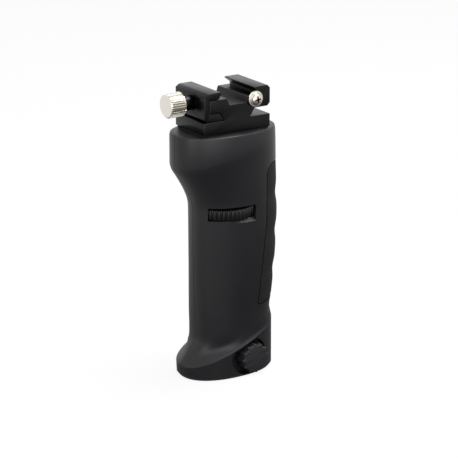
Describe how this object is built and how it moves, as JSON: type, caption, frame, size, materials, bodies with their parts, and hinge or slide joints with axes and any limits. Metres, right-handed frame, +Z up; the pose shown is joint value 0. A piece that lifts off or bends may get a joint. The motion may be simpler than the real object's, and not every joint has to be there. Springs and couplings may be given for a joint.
{
  "type": "flash handle",
  "caption": "Upright two-shell grip with a finger pad, a thumb wheel, a side lock knob on a pin socket in the foot and a screw-driven dovetail rail clamp on top.",
  "frame": {"origin": "centre of the bounding box's bottom face, on the plane that the foot stands on", "axes": "+Z up along the grip, +X towards the finger side, -X towards the palm side and the clamp knob, -Y towards the side with the lock knob"},
  "size_m": [0.0586, 0.034, 0.1401],
  "materials": {
    "shell_plastic": "fine-grained moulded charcoal plastic",
    "pad_rubber": "matt moulded rubber",
    "wheel_plastic": "moulded black plastic",
    "clamp_black": "black anodised, satin",
    "nickel": "bright nickel plate",
    "steel": "plain turned steel",
    "brass": "turned",
    "nylon": "natural nylon"
  },
  "bodies": {
    "handle": {"left_shell": "shell_plastic", "right_shell": "shell_plastic", "foot_plate": "shell_plastic", "finger_pad": "pad_rubber", "seat_sheet": "pad_rubber", "pin_socket": "steel", "lock_insert": "brass", "top_bush": "brass", "lower_bush": "brass", "lower_thrust_washer": "nylon", "upper_thrust_washer": "nylon", "back_dowel": "steel", "front_dowel": "steel", "shell_screw_1": "steel", "shell_screw_2": "steel", "shell_screw_3": "steel", "shell_screw_4": "steel", "shell_screw_5": "steel", "foot_screw_1": "steel", "foot_screw_2": "steel", "foot_screw_3": "steel"},
    "wheel": {"thumb_wheel": "wheel_plastic", "clamp_stud": "steel"},
    "clamp": {"clamp_body": "clamp_black", "rail_stop_washer": "nickel", "rail_stop_screw": "nickel"},
    "jaw": {"moving_jaw": "clamp_black", "knob_spacer": "clamp_black"},
    "jaw_knob": {"clamp_knob": "nickel", "clamp_screw": "steel"},
    "lock_slide": {"lock_pad": "nylon"},
    "lock_turning": {"lock_knob": "shell_plastic", "lock_screw": "steel"}
  },
  "joints": [
    {"name": "wheel_turn", "type": "hinge", "parent": "handle", "child": "wheel", "pos_m": [0.00169, 0, 0.08094], "axis": [0, 0, -1], "range_deg": [0, 720]},
    {"name": "clamp_lift", "type": "slide", "parent": "handle", "child": "clamp", "axis": [0, 0, 1], "range_m": [0, 0.00254]},
    {"name": "jaw_open", "type": "slide", "parent": "clamp", "child": "jaw", "axis": [-1, 0, 0], "range_m": [0, 0.0028]},
    {"name": "knob_turn", "type": "hinge", "parent": "jaw", "child": "jaw_knob", "pos_m": [0.00169, 0, 0.1339], "axis": [-1, 0, 0], "range_deg": [0, 1440]},
    {"name": "lock_press", "type": "slide", "parent": "handle", "child": "lock_slide", "axis": [0, 1, 0], "range_m": [-0.001, 0.0007]},
    {"name": "lock_turn", "type": "hinge", "parent": "lock_slide", "child": "lock_turning", "pos_m": [0.00939, 0, 0.0084], "axis": [0, 1, 0], "range_deg": [-360, 252]}
  ],
  "couplings": [
    {"joint": "wheel_turn", "follows": "clamp_lift", "rad_per_m": 4947.4},
    {"joint": "knob_turn", "follows": "jaw_open", "rad_per_m": 8976},
    {"joint": "lock_turn", "follows": "lock_press", "rad_per_m": 6283.2}
  ]
}
